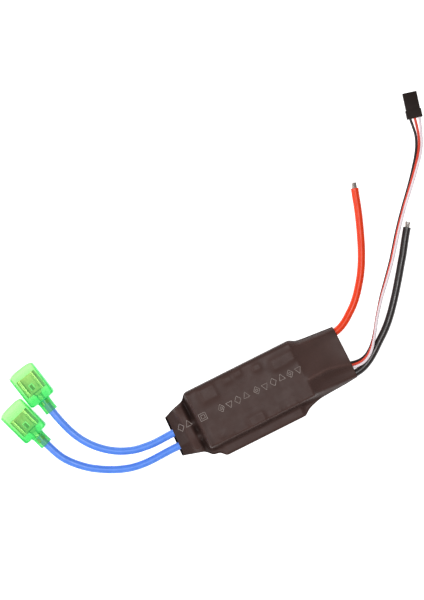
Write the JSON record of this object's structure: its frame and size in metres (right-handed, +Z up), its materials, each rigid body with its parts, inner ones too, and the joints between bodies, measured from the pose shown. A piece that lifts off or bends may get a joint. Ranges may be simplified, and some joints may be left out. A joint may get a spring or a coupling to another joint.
{
  "type": "electronic speed controller",
  "caption": "Brushed motor speed controller in a dark heat-shrink sleeve, with motor leads on covered tab terminals, bare battery leads and a servo plug.",
  "frame": {"origin": "middle of the sleeve's flat underside, where it rests on a surface", "axes": "+X along the sleeve towards the battery leads, +Z up from the underside; the heat spreader's edge stands out on the -Y side"},
  "size_m": [0.2776, 0.1306, 0.0124],
  "materials": {
    "sleeve_film": "dark brown-black heat-shrink film, satin",
    "board_laminate": "green solder mask",
    "bare_aluminium": "bare plate",
    "chip_moulding": "black epoxy moulding",
    "plated_can": "plated can",
    "capacitor_sleeve": "shrunk vinyl",
    "ceramic": "ceramic with plated ends",
    "solder": "bright solder",
    "blue_silicone": "smooth silicone",
    "red_silicone": "smooth silicone",
    "black_silicone": "smooth silicone",
    "tinned_strands": "tinned copper strands",
    "black_wire_pvc": "PVC insulation",
    "red_wire_pvc": "PVC insulation",
    "white_wire_pvc": "PVC insulation",
    "plug_plastic": "moulded black plastic",
    "tinned_contact": "tinned brass",
    "clear_green_plastic": "see-through green vinyl",
    "tinned_brass": "tinned brass sheet"
  },
  "bodies": {
    "controller": {"heat_shrink_sleeve": "sleeve_film", "circuit_board": "board_laminate", "heat_spreader": "bare_aluminium", "mosfet_1": "chip_moulding", "mosfet_2": "chip_moulding", "mosfet_3": "chip_moulding", "mosfet_4": "chip_moulding", "microcontroller": "chip_moulding", "gate_driver": "chip_moulding", "voltage_regulator": "chip_moulding", "resonator": "plated_can", "freewheel_diode": "chip_moulding", "filter_capacitor_1": "capacitor_sleeve", "filter_capacitor_2": "capacitor_sleeve", "ceramic_capacitor_1": "ceramic", "ceramic_capacitor_2": "ceramic", "ceramic_capacitor_3": "ceramic", "chip_resistor_1": "chip_moulding", "chip_resistor_2": "chip_moulding", "chip_resistor_3": "chip_moulding", "chip_resistor_4": "chip_moulding", "chip_resistor_5": "chip_moulding", "motor_solder_joint_a": "solder", "motor_solder_joint_b": "solder", "battery_solder_joint_positive": "solder", "battery_solder_joint_negative": "solder", "signal_solder_joint_ground": "solder", "signal_solder_joint_power": "solder", "signal_solder_joint_signal": "solder", "motor_lead_a": "blue_silicone", "motor_lead_b": "blue_silicone", "battery_lead_positive": "red_silicone", "battery_lead_negative": "black_silicone", "battery_tip_positive": "tinned_strands", "battery_tip_negative": "tinned_strands", "signal_wire_ground": "black_wire_pvc", "signal_wire_power": "red_wire_pvc", "signal_wire_signal": "white_wire_pvc", "servo_plug_housing": "plug_plastic", "plug_contact_ground": "tinned_contact", "plug_contact_power": "tinned_contact", "plug_contact_signal": "tinned_contact", "tab_terminal_a": "tinned_brass", "tab_terminal_b": "tinned_brass"},
    "cover_a": {"terminal_cover_a": "clear_green_plastic"},
    "cover_b": {"terminal_cover_b": "clear_green_plastic"}
  },
  "joints": [
    {"name": "cover_a_slide", "type": "slide", "parent": "controller", "child": "cover_a", "axis": [0.1994, -0.9799, 0], "range_m": [-0.0017, 0.0035]},
    {"name": "cover_b_slide", "type": "slide", "parent": "controller", "child": "cover_b", "axis": [0.3173, -0.9483, 0], "range_m": [0, 0.008]}
  ]
}
